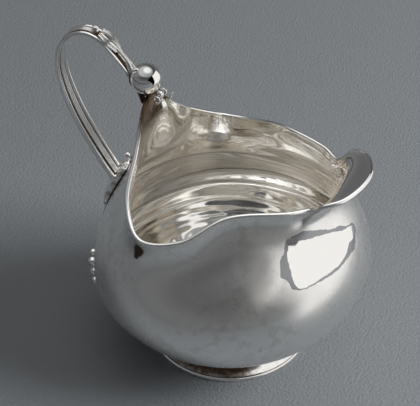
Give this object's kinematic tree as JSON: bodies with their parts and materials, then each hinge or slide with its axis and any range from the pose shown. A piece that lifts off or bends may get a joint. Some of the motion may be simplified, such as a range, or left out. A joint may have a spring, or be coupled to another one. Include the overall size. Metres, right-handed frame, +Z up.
{
  "type": "cream jug",
  "caption": "Squat hand-raised silver creamer on a ring foot, with an undulating everted rim, a broad pouring lip, and a reeded loop handle with ball finial and applied leaves.",
  "frame": {"origin": "bottom centre of the whole object's box, on the plane that the foot stands on", "axes": "+Z up; +X from the handle towards the pouring lip; +Y to the left of someone holding the handle and looking at the lip"},
  "size_m": [0.103, 0.0894, 0.1095],
  "materials": {
    "polished_silver": "polished sterling silver with faint planishing marks",
    "worn_silver": "satin silver, darker in the recesses",
    "oxidised_silver": "oxidised silver, brown in the hollows",
    "mirror_silver": "mirror polished silver"
  },
  "bodies": {
    "root": {"bowl": "polished_silver", "foot_bead": "polished_silver", "handle_wire_left": "polished_silver", "handle_wire_right": "polished_silver", "bud_wire_left": "polished_silver", "bud_wire_right": "polished_silver", "bud_curl": "polished_silver", "sprig_berry": "polished_silver", "sprig_drop": "polished_silver", "sprig_tip": "polished_silver", "leaf_top_bead": "polished_silver", "berry_left_1": "polished_silver", "berry_left_2": "polished_silver", "berry_left_3": "polished_silver", "berry_left_4": "polished_silver", "berry_right_1": "polished_silver", "berry_right_2": "polished_silver", "berry_right_3": "polished_silver", "berry_right_4": "polished_silver", "foot_collar": "worn_silver", "handle_strap": "worn_silver", "stem": "worn_silver", "bud": "worn_silver", "sprig_curl_left": "worn_silver", "sprig_curl_right": "worn_silver", "leaf_plate": "worn_silver", "spray_left": "worn_silver", "spray_right": "worn_silver", "leaf_tail": "oxidised_silver", "ball_finial": "mirror_silver"}
  },
  "joints": []
}
